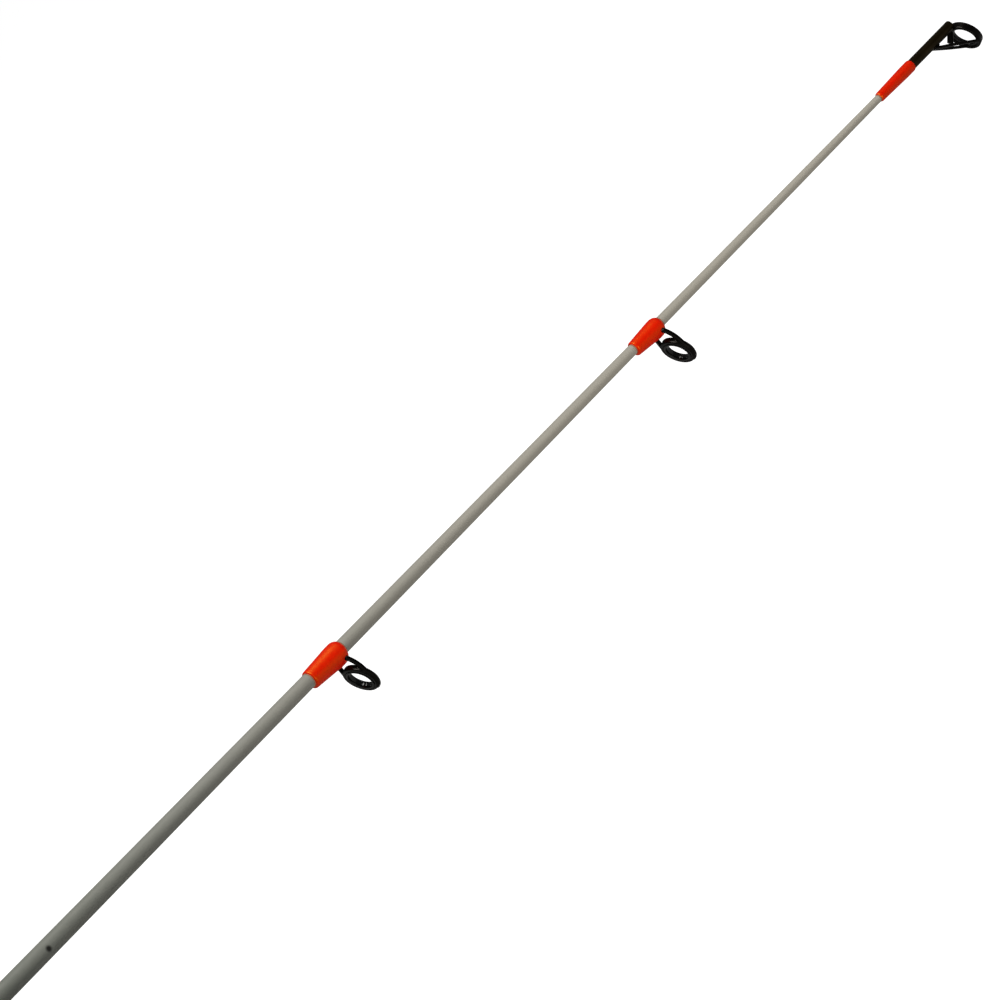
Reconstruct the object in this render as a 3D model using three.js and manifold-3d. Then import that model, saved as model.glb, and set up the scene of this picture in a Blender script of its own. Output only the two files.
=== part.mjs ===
// Ice fishing rod: a tapered solid glass blank that carries three single-foot guides and a tip-top,
// glued through a cork handle with a screw-locked reel seat.
//
// Millimetres. +X runs from the butt to the tip, the guides hang towards -Z, and the origin is the
// centre of the butt cap's flat end.

import * as THREE from 'three';
import { mergeVertices } from 'three/addons/utils/BufferGeometryUtils.js';
import Module from 'manifold-3d';

const wasm = await Module();
wasm.setup();

// ---- driving dimensions ----------------------------------------------------------------------

const LENGTH = 711; // whole rod, 28 inches
const HANDLE = 231; // butt face to the front of the winding check

const BLANK_TIP = 1.65; // blank diameter at the very tip
const TAPER = 0.0077; // growth of the diameter per millimetre at the tip
const TAPER_GROWTH = 9.5e-7; // and how fast that growth itself grows
const BLANK_BUTT = 6.3; // the blank is straight from here back

const FIT = 0.06; // radial gap between glued or nested pieces
const SLIDE = 0.12; // radial gap of the pieces that move on the reel seat
const BUTTED = 0.3; // gap between pieces that meet end to end
const ROUND = 24; // facets round a slim piece
const HANDLE_ROUND = 32; // facets round a handle piece

const LEAN = 0.36; // guides lean towards the tip, radians
const TIP_LEAN = 0.33; // and so does the tip-top's ring, less

// Each guide: how far its foot's bend is behind the tip, the radius of the hole in its ring, how far
// the ring is from the bend, and how far back the foot and the wrap run.
const GUIDES = [
  { name: 'guide_1', fromTip: 124.8, hole: 2.75, reach: 6.5, footLength: 7.2, wrapBack: 7.6 },
  { name: 'guide_2', fromTip: 251.9, hole: 2.9, reach: 6.4, footLength: 8.6, wrapBack: 9.2 },
  { name: 'guide_3', fromTip: 393, hole: 4.2, reach: 8.7, footLength: 10.5, wrapBack: 11.2 },
];
const WRAP_FRONT = 2.8; // how far a wrap runs past the foot's bend, towards the tip
const INSERT_WIDTH = 0.65; // ring insert, in the plane of the ring
const INSERT_THICK = 1.85;
const EYE_WIDTH = 0.75; // metal eye round the insert
const EYE_THICK = 1.6;
const ARM_WIDTH = 1.1;
const ARM_THICK = 1.1;
const ARM_SPREAD = 0.56; // half the arms' spacing at the base, as a share of the eye's radius
const FOOT_LIFT = 0.5; // middle of the frame's base above the blank
const THREAD = 0.8; // thickness of a guide's wrap with its coating, at its front
const THREAD_REAR = 0.45; // and at its rear, as a share of that

const TUBE_END = LENGTH - 0.4; // end of the tip-top's tube, just short of its ring
const TIP_TUBE = { length: 21.6, outer: 1.3, inner: 0.96, wall: 1 };
const TIP_RING = { hole: 2.8, drop: 4.4, ahead: 1.25, insertThick: 1.2, eyeThick: 1.9 };
const TIP_WRAP = { back: 30.6, front: 17 }; // ends, behind the tip

const SEAT = { start: 99.3, end: 199, radius: 8, bore: 5.5 };
const SLIDING_HOOD = { start: 127, end: 145 };
const FIXED_HOOD = { start: 181, end: 198.7 };
const LOCK_NUT = { start: 112.7, end: 126.7 };
const HOOD_FORWARD = 12; // travel of the sliding hood from rest
const HOOD_RADIUS = 10.4;
const POCKET = { depth: 12, halfWidth: 6.6, bottom: 13.9 };
const PAD = { halfWidth: 5.4, top: 9.3 };
const KEYWAY = { halfWidth: 1.6, floor: 7 };

// ---- making and joining solids ---------------------------------------------------------------

function signedVolume(position, index) {
  const corners = [new THREE.Vector3(), new THREE.Vector3(), new THREE.Vector3()];
  let six = 0;
  for (let i = 0; i < index.length; i += 3) {
    corners.forEach((corner, k) => corner.fromBufferAttribute(position, index[i + k]));
    six += corners[0].dot(corners[1].clone().cross(corners[2]));
  }
  return six / 6;
}

// Shared vertices merged, collapsed triangles dropped and every face pointing out.
function closed(geometry) {
  geometry.deleteAttribute('normal');
  geometry.deleteAttribute('uv');
  const merged = mergeVertices(geometry, 1e-5);
  const all = merged.index.array;
  const kept = [];
  for (let i = 0; i < all.length; i += 3) {
    const [a, b, c] = [all[i], all[i + 1], all[i + 2]];
    if (a !== b && b !== c && c !== a) kept.push(a, b, c);
  }
  if (signedVolume(merged.attributes.position, kept) < 0) kept.reverse();
  merged.setIndex(kept);
  merged.clearGroups();
  return merged;
}

function solid(geometry) {
  const { attributes, index } = closed(geometry);
  return new wasm.Manifold(new wasm.Mesh({
    numProp: 3,
    vertProperties: new Float32Array(attributes.position.array),
    triVerts: new Uint32Array(index.array),
  }));
}

function geometryOf(manifold) {
  const { vertProperties, triVerts } = manifold.getMesh();
  const geometry = new THREE.BufferGeometry();
  geometry.setAttribute('position', new THREE.BufferAttribute(vertProperties, 3));
  geometry.setIndex(new THREE.BufferAttribute(triVerts, 1));
  return geometry;
}

function join(...pieces) {
  return pieces.reduce((sum, piece) => sum.add(piece));
}

function cut(body, ...tools) {
  return tools.reduce((rest, tool) => rest.subtract(tool), body);
}

// A profile of [x, radius] points spun about the X axis. It starts and ends on the axis, or closes.
function turned(profile, facets = ROUND) {
  const points = profile.map(([x, radius]) => new THREE.Vector2(radius, x));
  return closed(new THREE.LatheGeometry(points, facets).rotateZ(-Math.PI / 2));
}

function rod(start, end, radius, facets = ROUND) {
  return turned([[start, 0], [start, radius], [end, radius], [end, 0]], facets);
}

// A sleeve whose outside is a list of [x, radius] points and whose bore is straight.
function sleeve(outside, bore, facets = ROUND) {
  const start = outside[0][0];
  const end = outside[outside.length - 1][0];
  return turned([[start, bore], ...outside, [end, bore], [start, bore]], facets);
}

function box(low, high) {
  const size = low.map((value, i) => high[i] - value);
  const middle = low.map((value, i) => (value + high[i]) / 2);
  return new THREE.BoxGeometry(...size).translate(...middle);
}

// An outline in the YZ plane, drawn out along X from start to end.
function drawnAlongX(outline, start, end, curveSegments = 6) {
  const options = { depth: end - start, bevelEnabled: false, curveSegments };
  const geometry = new THREE.ExtrudeGeometry(outline, options);
  return geometry.rotateY(Math.PI / 2).rotateX(Math.PI / 2).translate(start, 0, 0);
}

function piece(name, geometry, material) {
  const mesh = new THREE.Mesh(geometry, material);
  mesh.name = name;
  return mesh;
}

// ---- materials -------------------------------------------------------------------------------

function material(color, roughness, metalness = 0) {
  return new THREE.MeshStandardMaterial({ color, roughness, metalness });
}

const glassBlank = material(0xa3a195, 0.45);
const orangeThread = material(0xe03505, 0.25);
const blackFrame = material(0x15130f, 0.3, 0.8);
const blackCeramic = material(0x0c0c0d, 0.15);
const cork = material(0xc49a6a, 0.8);
const blackRubber = material(0x18181a, 0.7);
const seatPlastic = material(0x1c1c1f, 0.5);
const anodised = material(0xd24a12, 0.3, 0.9);
const hoodMetal = material(0x2b2b2e, 0.3, 0.9);
const linerPlastic = material(0x303033, 0.6);
const epoxyBush = material(0xb8b09a, 0.6);

// ---- blank -----------------------------------------------------------------------------------

function blankRadius(x) {
  const fromTip = LENGTH - x;
  const tapered = BLANK_TIP + TAPER * fromTip + TAPER_GROWTH * fromTip ** 2;
  return Math.min(tapered, BLANK_BUTT) / 2;
}

// The blank's own surface between two stations, made larger all round by a gap.
function blankProfile(start, end, gap, steps) {
  const profile = [];
  for (let i = 0; i <= steps; i += 1) {
    const x = start + ((end - start) * i) / steps;
    profile.push([x, blankRadius(x) + gap]);
  }
  return profile;
}

function blankSolid(start, end, gap = 0, steps = 1) {
  return turned([[start, 0], ...blankProfile(start, end, gap, steps), [end, 0]]);
}

// The bore of a piece that starts here; the blank only gets slimmer towards its tip.
function blankBore(start) {
  return blankRadius(start) + FIT;
}

function makeBlank() {
  return piece('blank', blankSolid(10, TUBE_END - TIP_TUBE.wall - BUTTED, 0, 16), glassBlank);
}

// ---- guides ----------------------------------------------------------------------------------

// A ring with a rounded section about the X axis, between two radii.
function roundedRing(inner, outer, thick, facets = 32) {
  const chamfer = Math.min(thick, outer - inner) * 0.3;
  const half = thick / 2;
  return turned([
    [-half, inner + chamfer],
    [-half, outer - chamfer],
    [-half + chamfer, outer],
    [half - chamfer, outer],
    [half, outer - chamfer],
    [half, inner + chamfer],
    [half - chamfer, inner],
    [-half + chamfer, inner],
    [-half, inner + chamfer],
  ], facets);
}

// A straight bar in the YZ plane from one point to another.
function bar(from, to, width, thick) {
  const [dy, dz] = [to[0] - from[0], to[1] - from[1]];
  const geometry = new THREE.BoxGeometry(thick, width, Math.hypot(dy, dz));
  return geometry
    .rotateX(Math.atan2(-dy, dz))
    .translate(0, (from[0] + to[0]) / 2, (from[1] + to[1]) / 2);
}

// Where a line from a base point touches a circle centred on the Z axis below it.
function tangentPoint(base, centreZ, radius) {
  const [dy, dz] = [-base[0], centreZ - base[1]];
  const distance = Math.hypot(dy, dz);
  const turn = Math.sign(base[0]) * Math.asin(radius / distance);
  const heading = Math.atan2(dy, -dz) + turn;
  const reach = Math.sqrt(distance ** 2 - radius ** 2);
  return [base[0] + Math.sin(heading) * reach, base[1] - Math.cos(heading) * reach];
}

function eyeOuter(hole) {
  return hole + INSERT_WIDTH + FIT + EYE_WIDTH;
}

// The space that a ring insert fills inside its eye.
function ringRoom(hole, insertThick) {
  const half = insertThick / 2 + FIT;
  return rod(-half, half, hole + INSERT_WIDTH + FIT, 32);
}

// The leaning part of a guide's frame about its bend: the eye, its two arms and the base bar.
function leaningFrame({ hole, reach }, grow) {
  const eye = roundedRing(hole + INSERT_WIDTH + FIT, eyeOuter(hole) + grow, EYE_THICK + 2 * grow);
  const baseHalf = eyeOuter(hole) * ARM_SPREAD;
  const armCircle = eyeOuter(hole) - ARM_WIDTH / 2;
  const arms = [-baseHalf, baseHalf].map((side) => {
    const touch = tangentPoint([side, 0], -reach, armCircle);
    return solid(bar([side, 0], touch, ARM_WIDTH + 2 * grow, ARM_THICK + 2 * grow));
  });
  const outside = baseHalf + ARM_WIDTH / 2 + grow;
  const halfThick = ARM_THICK / 2 + grow;
  const base = box([-halfThick, -outside, -0.5 - grow], [halfThick, outside, 0.4 + grow]);
  const frame = join(solid(eye.translate(0, 0, -reach)), ...arms, solid(base));
  return grow > 0 ? frame : cut(frame, solid(ringRoom(hole, INSERT_THICK).translate(0, 0, -reach)));
}

// The foot that lies along the blank under the wrap, thinning towards its end.
function footBar({ footLength }, grow) {
  const side = new THREE.Shape([
    new THREE.Vector2(0.3 + grow, 0.35 + grow),
    new THREE.Vector2(0.3 + grow, -0.4 - grow),
    new THREE.Vector2(-footLength * 0.4, -0.4 - grow),
    new THREE.Vector2(-footLength - grow, 0.05 - grow),
    new THREE.Vector2(-footLength - grow, 0.35 + grow),
  ]);
  const width = 2.2 + 2 * grow;
  const geometry = new THREE.ExtrudeGeometry(side, { depth: width, bevelEnabled: false });
  return solid(geometry.translate(0, 0, -width / 2).rotateX(Math.PI / 2));
}

function bendPoint(guide) {
  const x = LENGTH - guide.fromTip;
  return { x, z: -(blankRadius(x) + FOOT_LIFT) };
}

function guideFrame(guide, grow = 0) {
  const { x, z } = bendPoint(guide);
  const leaning = solid(geometryOf(leaningFrame(guide, grow)).rotateY(-LEAN));
  const placed = solid(geometryOf(join(leaning, footBar(guide, grow))).translate(x, 0, z));
  if (grow > 0) return placed;
  return cut(placed, solid(blankSolid(x - 20, x + 20, FIT)));
}

function guideRing(guide) {
  const { x, z } = bendPoint(guide);
  const outer = guide.hole + INSERT_WIDTH;
  const ring = roundedRing(guide.hole, outer, INSERT_THICK).translate(0, 0, -guide.reach);
  return ring.rotateY(-LEAN).translate(x, 0, z);
}

// A wrap's outline along X: a rounded shoulder at each end, and as low at its rear as rearShare says.
function wrapProfile(start, end, thickness, rearShare) {
  const shoulder = 1.1;
  const levels = [[0, 0.12], [0.35 * shoulder, 0.7], [shoulder, 1]];
  const rise = (x, share) => [x, blankRadius(x) + FIT + thickness * share];
  return [
    ...levels.map(([dx, share]) => rise(start + dx, share * rearShare)),
    ...levels.map(([dx, share]) => rise(end - dx, share)).reverse(),
  ];
}

function wrapAround(start, end, thickness, rearShare = 1) {
  const outside = wrapProfile(start, end, thickness, rearShare);
  const bore = blankProfile(start, end, FIT, 1).reverse();
  return turned([bore[1], ...outside, bore[0], bore[1]]);
}

function guideWrap(guide) {
  const { x } = bendPoint(guide);
  const [start, end] = [x - guide.wrapBack, x + WRAP_FRONT];
  const overFoot = wrapProfile(start, x - 0.4, THREAD, THREAD_REAR);
  const ridge = turned([[start, 0], ...overFoot, [x - 0.4, 0]]).translate(0, 0, -0.7);
  const around = solid(wrapAround(start, end, THREAD, THREAD_REAR));
  const whole = join(around, solid(ridge));
  return cut(whole, solid(blankSolid(start - 5, end + 5, FIT)), guideFrame(guide, FIT));
}

function makeGuide(guide) {
  const group = new THREE.Group();
  group.add(piece(`${guide.name}_frame`, geometryOf(guideFrame(guide)), blackFrame));
  group.add(piece(`${guide.name}_ring`, guideRing(guide), blackCeramic));
  group.add(piece(`${guide.name}_wrap`, geometryOf(guideWrap(guide)), orangeThread));
  return group;
}

// ---- tip-top ---------------------------------------------------------------------------------

function tipTube() {
  const { length, outer, inner, wall } = TIP_TUBE;
  const start = TUBE_END - length;
  return turned([
    [start, inner],
    [start, outer],
    [TUBE_END - 0.5, outer],
    [TUBE_END, outer - 0.5],
    [TUBE_END, 0],
    [TUBE_END - wall, 0],
    [TUBE_END - wall, inner],
    [start, inner],
  ]);
}

// The tip-top's eye and the two brace arms that run back to its tube.
function tipFrame() {
  const { hole, drop, ahead, insertThick, eyeThick } = TIP_RING;
  const outer = eyeOuter(hole);
  const eye = roundedRing(hole + INSERT_WIDTH + FIT, outer, eyeThick)
    .rotateY(-TIP_LEAN)
    .translate(LENGTH + ahead, 0, -drop);
  const braces = [-1, 1].map((side) => {
    const tubeEnd = new THREE.Vector3(LENGTH - 9, side * 0.6, -TIP_TUBE.outer - 0.2);
    const eyeEnd = new THREE.Vector3(LENGTH + ahead + 0.9, side * outer * 0.62, -drop - outer * 0.72);
    return solid(wireAlong(new THREE.LineCurve3(tubeEnd, eyeEnd), 0.42, 1));
  });
  const saddle = solid(box([LENGTH - 11, -0.9, -TIP_TUBE.outer - 0.7], [LENGTH - 8, 0.9, -0.5]));
  const frame = join(solid(eye), ...braces, saddle);
  const tubeRoom = rod(LENGTH - 40, TUBE_END + 0.1, TIP_TUBE.outer + FIT);
  const room = ringRoom(hole, insertThick).rotateY(-TIP_LEAN).translate(LENGTH + ahead, 0, -drop);
  return cut(frame, solid(tubeRoom), solid(room));
}

function tipRing() {
  const { hole, drop, ahead, insertThick } = TIP_RING;
  const ring = roundedRing(hole, hole + INSERT_WIDTH, insertThick);
  return ring.rotateY(-TIP_LEAN).translate(LENGTH + ahead, 0, -drop);
}

// The tip wrap runs from the blank up over the rear end of the tube.
function tipWrap() {
  const [start, end] = [LENGTH - TIP_WRAP.back, LENGTH - TIP_WRAP.front];
  const tubeStart = TUBE_END - TIP_TUBE.length;
  const overTube = TIP_TUBE.outer + FIT;
  const blankFit = (x) => blankRadius(x) + FIT;
  return turned([
    [start, blankFit(start)],
    [start, blankFit(start) + 0.08],
    [start + 1, blankFit(start) + 0.45],
    [tubeStart - 1, overTube + 0.12],
    [end - 1, overTube + 0.26],
    [end, overTube + 0.06],
    [end, overTube],
    [tubeStart - BUTTED, overTube],
    [tubeStart - BUTTED, blankFit(tubeStart)],
    [start, blankFit(start)],
  ]);
}

function makeTipTop() {
  const group = new THREE.Group();
  group.add(piece('tip_top_tube', tipTube(), blackFrame));
  group.add(piece('tip_top_frame', geometryOf(tipFrame()), blackFrame));
  group.add(piece('tip_top_ring', tipRing(), blackCeramic));
  group.add(piece('tip_wrap', tipWrap(), orangeThread));
  return group;
}

// ---- hook keeper and trim wrap ---------------------------------------------------------------

// A round wire along a curve.
function wireAlong(curve, radius, steps) {
  const section = new THREE.Shape().absarc(0, 0, radius, 0, 2 * Math.PI);
  const options = { steps, extrudePath: curve, curveSegments: 4, bevelEnabled: false };
  return new THREE.ExtrudeGeometry(section, options);
}

const KEEPER = { middle: 249, halfSpan: 3.2, footReach: 4.2, wire: 0.4, height: 3.2 };

function keeperFootZ() {
  return -(blankRadius(KEEPER.middle) + FIT + KEEPER.wire + 0.1);
}

function keeperWire() {
  const { middle, halfSpan, footReach, wire, height } = KEEPER;
  const foot = keeperFootZ();
  const points = [
    [-halfSpan - footReach, 0], [-halfSpan - 2.6, 0], [-halfSpan - 1.2, 0],
    [-halfSpan + 0.6, -0.55 * height],
    [0, -height],
    [halfSpan - 0.6, -0.55 * height],
    [halfSpan + 1.2, 0], [halfSpan + 2.6, 0], [halfSpan + footReach, 0],
  ].map(([dx, dz]) => new THREE.Vector3(middle + dx, 0, foot + dz));
  return wireAlong(new THREE.CatmullRomCurve3(points), wire, 22);
}

function keeperWrap(side) {
  const { middle, halfSpan, footReach } = KEEPER;
  const near = middle + side * (halfSpan + 1.8);
  const far = middle + side * (halfSpan + footReach + 1.6);
  const [start, end] = side < 0 ? [far, near] : [near, far];
  const ridge = turned([[start, 0], ...wrapProfile(start, end, 0.4, 1), [end, 0]]).translate(0, 0, -0.75);
  const whole = join(solid(wrapAround(start, end, 0.4)), solid(ridge));
  const tunnel = rod(start - 2, end + 2, KEEPER.wire + 0.15, 12).translate(0, 0, keeperFootZ());
  return cut(whole, solid(blankSolid(start - 5, end + 5, FIT)), solid(tunnel));
}

function makeKeeper() {
  const group = new THREE.Group();
  group.add(piece('hook_keeper', keeperWire(), blackFrame));
  group.add(piece('hook_keeper_wrap_rear', geometryOf(keeperWrap(-1)), orangeThread));
  group.add(piece('hook_keeper_wrap_front', geometryOf(keeperWrap(1)), orangeThread));
  group.add(piece('trim_wrap', wrapAround(HANDLE + BUTTED, HANDLE + 7, 0.35), orangeThread));
  return group;
}

// ---- handle ----------------------------------------------------------------------------------

const SPIGOT = 7.8; // the rear grip's end inside the butt cap

function buttCap() {
  return turned([
    [0, 0], [0, 9], [1, 11], [3, 12.2], [14, 12.6], [16, 12.2],
    [16, SPIGOT + FIT], [7, SPIGOT + FIT], [7, 0],
  ], HANDLE_ROUND);
}

function rearGrip() {
  const spigotStart = 7 + BUTTED;
  const outside = [
    [spigotStart, SPIGOT], [16.3, SPIGOT], [16.3, 12], [34, 11.6], [58, 10.6], [80, 11], [92, 11.2],
    [96, 10.6],
  ];
  return sleeve(outside, blankBore(spigotStart), HANDLE_ROUND);
}

function foreGrip() {
  const outside = [[201.6, 10.4], [204, 11], [210, 10.6], [220, 8.4], [226, 7.2], [228.4, 6.6]];
  return sleeve(outside, blankBore(201.6), HANDLE_ROUND);
}

function trimRing(start, end, radius) {
  const edge = 0.5;
  const outside = [
    [start, radius - edge], [start + edge, radius], [end - edge, radius], [end, radius - edge],
  ];
  return sleeve(outside, blankBore(start), HANDLE_ROUND);
}

// Tube with a lengthwise keyway on top and a flat pad underneath for the reel's foot.
function reelSeatBody() {
  const { start, end, radius, bore } = SEAT;
  const tube = solid(rod(start, end, radius, HANDLE_ROUND));
  const padStart = SLIDING_HOOD.end + HOOD_FORWARD + 1.5;
  const padEnd = FIXED_HOOD.start - 1;
  const pad = solid(box([padStart, -PAD.halfWidth, -PAD.top], [padEnd, PAD.halfWidth, 0]));
  const keyEnd = SLIDING_HOOD.end + HOOD_FORWARD + 1;
  const { halfWidth, floor } = KEYWAY;
  const keyway = solid(box([start + 3, -halfWidth, floor], [keyEnd, halfWidth, radius + 2]));
  const hole = solid(rod(start - 1, end + 1, bore, HANDLE_ROUND));
  return cut(join(tube, pad), keyway, hole);
}

function arbor(start, end) {
  const outer = SEAT.bore - FIT;
  return sleeve([[start, outer], [end, outer]], blankBore(start), HANDLE_ROUND);
}

// The outline of a hood seen from its end: round, with a square-shouldered hump underneath.
function hoodOutline(radius, humpHalfWidth, humpBottom) {
  const corner = 3.2;
  const meet = Math.asin(humpHalfWidth / radius);
  const shape = new THREE.Shape();
  shape.absarc(0, 0, radius, -Math.PI / 2 + meet, Math.PI * 1.5 - meet, false);
  shape.lineTo(-humpHalfWidth, -humpBottom + corner);
  shape.quadraticCurveTo(-humpHalfWidth, -humpBottom, -humpHalfWidth + corner, -humpBottom);
  shape.lineTo(humpHalfWidth - corner, -humpBottom);
  shape.quadraticCurveTo(humpHalfWidth, -humpBottom, humpHalfWidth, -humpBottom + corner);
  return shape;
}

// A hood with a pocket for the reel's foot. Its mouth faces +X when facing is 1, and -X when -1.
function hood({ start, end }, facing, bore) {
  const { depth, halfWidth, bottom } = POCKET;
  const wall = 1.5 + 0.8;
  const outline = hoodOutline(HOOD_RADIUS, halfWidth + wall, bottom + wall);
  const body = solid(drawnAlongX(outline, start, end, 8));
  const [pocketStart, pocketEnd] = facing > 0 ? [end - depth, end + 1] : [start - 1, start + depth];
  const grown = 0.8; // room for the liner
  const pocket = box(
    [facing > 0 ? pocketStart - grown : pocketStart, -halfWidth - grown, -bottom - grown],
    [facing > 0 ? pocketEnd : pocketEnd + grown, halfWidth + grown, -bore + 1.5],
  );
  return cut(body, solid(rod(start - 1, end + 1, bore, HANDLE_ROUND)), solid(pocket));
}

// The soft cup that lines a hood's pocket on three sides and its blind end.
function hoodLiner({ start, end }, facing, bore) {
  const { depth, halfWidth, bottom } = POCKET;
  const thick = 0.7;
  const topZ = -bore + 0.9;
  const [mouth, blind] = facing > 0 ? [end - BUTTED, end - depth] : [start + BUTTED, start + depth];
  const away = facing > 0 ? -thick : thick;
  const spanX = [mouth, blind + away].sort((a, b) => a - b);
  const innerX = [mouth + facing * 2, blind].sort((a, b) => a - b);
  const outer = box([spanX[0], -halfWidth - thick, -bottom - thick], [spanX[1], halfWidth + thick, topZ]);
  const inner = box([innerX[0], -halfWidth, -bottom], [innerX[1], halfWidth, topZ + 1]);
  const seat = rod(start - 5, end + 5, bore, HANDLE_ROUND);
  return cut(solid(outer), solid(inner), solid(seat));
}

function slidingHood() {
  const body = hood(SLIDING_HOOD, 1, SEAT.radius + SLIDE);
  const { halfWidth, floor } = KEYWAY;
  const gap = 0.25;
  const key = box(
    [SLIDING_HOOD.start + 2, -halfWidth + gap, floor + gap],
    [SLIDING_HOOD.end - 4, halfWidth - gap, SEAT.radius + 1],
  );
  return join(body, solid(key));
}

// Knurled nut: a collar with grip grooves cut along it.
function lockNut() {
  const { start, end } = LOCK_NUT;
  const outside = [[start, 10.4], [start + 1, 11.4], [end - 3, 11.4], [end - 2, 10.2], [end, 10.2]];
  const collar = solid(sleeve(outside, SEAT.radius + SLIDE, HANDLE_ROUND));
  const grooves = 16;
  const cutters = [];
  for (let i = 0; i < grooves; i += 1) {
    const angle = ((i + 0.5) / grooves) * 2 * Math.PI;
    const groove = rod(start - 1, end - 3.2, 0.8, 6).translate(0, 0, 11.7).rotateX(angle);
    cutters.push(solid(groove));
  }
  return cut(collar, ...cutters);
}

function makeHandle() {
  const group = new THREE.Group();
  const fixedBore = SEAT.radius + FIT;
  group.add(piece('butt_cap', buttCap(), blackRubber));
  group.add(piece('rear_grip', rearGrip(), cork));
  group.add(piece('rear_trim_ring', trimRing(96.3, 99, 11), anodised));
  group.add(piece('reel_seat_body', geometryOf(reelSeatBody()), seatPlastic));
  group.add(piece('arbor_rear', arbor(106, 126), epoxyBush));
  group.add(piece('arbor_front', arbor(172, 192), epoxyBush));
  group.add(piece('lock_nut', geometryOf(lockNut()), anodised));
  group.add(piece('sliding_hood', geometryOf(slidingHood()), hoodMetal));
  const slidingLiner = hoodLiner(SLIDING_HOOD, 1, SEAT.radius + SLIDE);
  group.add(piece('sliding_hood_liner', geometryOf(slidingLiner), linerPlastic));
  group.add(piece('fixed_hood', geometryOf(hood(FIXED_HOOD, -1, fixedBore)), hoodMetal));
  group.add(piece('fixed_hood_liner', geometryOf(hoodLiner(FIXED_HOOD, -1, fixedBore)), linerPlastic));
  group.add(piece('front_trim_ring', trimRing(199.3, 201.3, 10.6), anodised));
  group.add(piece('fore_grip', foreGrip(), cork));
  group.add(piece('winding_check', trimRing(228.7, HANDLE, 5.2), anodised));
  return group;
}

// ---- assembly --------------------------------------------------------------------------------

const iceRod = new THREE.Group();
iceRod.add(makeBlank(), makeTipTop(), ...GUIDES.map(makeGuide), makeKeeper(), makeHandle());

export default iceRod;
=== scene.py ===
"""The ice fishing rod's looks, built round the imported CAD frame.

The rod lies along +X from butt to tip, with its guides towards -Z. Lengths here are in
millimetres until a mesh is made, and metres after that.
"""
import math

import bmesh
import bpy
from mathutils import Matrix, Vector, noise


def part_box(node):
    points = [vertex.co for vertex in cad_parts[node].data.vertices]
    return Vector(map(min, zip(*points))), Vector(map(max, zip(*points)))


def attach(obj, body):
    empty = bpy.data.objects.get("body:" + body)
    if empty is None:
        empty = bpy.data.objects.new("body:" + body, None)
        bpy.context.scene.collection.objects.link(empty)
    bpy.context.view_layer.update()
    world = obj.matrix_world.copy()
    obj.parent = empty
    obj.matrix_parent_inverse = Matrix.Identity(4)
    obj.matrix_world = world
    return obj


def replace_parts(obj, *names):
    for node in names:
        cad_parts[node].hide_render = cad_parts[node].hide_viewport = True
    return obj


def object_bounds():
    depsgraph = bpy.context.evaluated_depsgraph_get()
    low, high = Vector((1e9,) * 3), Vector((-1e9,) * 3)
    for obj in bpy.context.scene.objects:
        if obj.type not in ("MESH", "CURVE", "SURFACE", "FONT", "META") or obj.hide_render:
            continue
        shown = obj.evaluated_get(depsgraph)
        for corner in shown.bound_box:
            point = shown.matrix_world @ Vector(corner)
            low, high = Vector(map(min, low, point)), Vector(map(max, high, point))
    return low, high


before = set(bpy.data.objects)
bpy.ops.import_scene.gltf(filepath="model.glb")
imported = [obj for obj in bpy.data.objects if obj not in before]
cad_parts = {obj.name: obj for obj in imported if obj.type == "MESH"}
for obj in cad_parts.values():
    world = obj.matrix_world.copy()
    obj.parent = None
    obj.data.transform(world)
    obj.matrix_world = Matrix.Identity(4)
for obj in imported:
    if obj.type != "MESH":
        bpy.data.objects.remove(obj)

CAD_BOX = [list(corner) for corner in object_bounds()]
MM = 0.001


def low(node):
    """A CAD node's lowest corner, in millimetres."""
    return Vector(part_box(node)[0]) / MM


def high(node):
    return Vector(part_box(node)[1]) / MM


# ---- dimensions, in millimetres ------------------------------------------------------------------

TIP = 711.0  # the rod's length, where the blank's taper is counted from
BLANK_TIP = 1.65
TAPER = 0.0077
TAPER_GROWTH = 9.5e-7
BLANK_BUTT = 6.3
LEAN = 0.36
TIP_LEAN = 0.33
GUIDES = ("guide_1", "guide_2", "guide_3")
INSERT_WIDTH = 0.65
INSERT_THICK = 1.85
EYE_THICK = 1.6
ARM_HALF = 0.57
ARM_BOW = 0.3  # how far an arm bows outwards on its way to the eye
ARM_AHEAD = 0.95  # its base is this far ahead of the ring's plane
ARM_SPREAD = 0.56
EYE_RIM = 0.05  # the eye's rolled rim stands out this far past the plain one
WRAP_FRONT = 2.8
PITCH = 2.5  # how far the lock nut's thread climbs in a turn
DISC = 12.7  # a cork disc's thickness


def blank_radius(x):
    from_tip = TIP - x
    return min(BLANK_TIP + TAPER * from_tip + TAPER_GROWTH * from_tip ** 2, BLANK_BUTT) / 2


def blank_bore(start):
    """The bore of a piece that starts here."""
    return blank_radius(start) + 0.06


# ---- the view ----------------------------------------------------------------------------------

FROM_TIP_AT_CENTRE = 188.95  # the picture's middle is beside the blank, this far behind the tip
CAMERA_DISTANCE = 3000.0
PICTURE_WIDTH = 233.1
YAW = 0.58  # the blank runs away from the camera towards the tip
ROLL = 0.20  # the guides hang a little away from the camera
TILT = 0.0115  # the blank against the picture's diagonal
ASIDE = 2.4  # the blank passes this far above left of the picture's middle
SENSOR = 36.0


def camera_axes():
    """The blank's direction in the picture, the guides' direction in it, and the view direction."""
    along = Vector((math.cos(YAW), -math.cos(ROLL) * math.sin(YAW), math.sin(ROLL) * math.sin(YAW)))
    down = Vector((0, -math.sin(ROLL), -math.cos(ROLL)))
    into = along.cross(down)
    turn = Matrix.Rotation(TILT, 3, into)
    return turn @ along, turn @ down, into


# ---- making meshes -----------------------------------------------------------------------------

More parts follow.
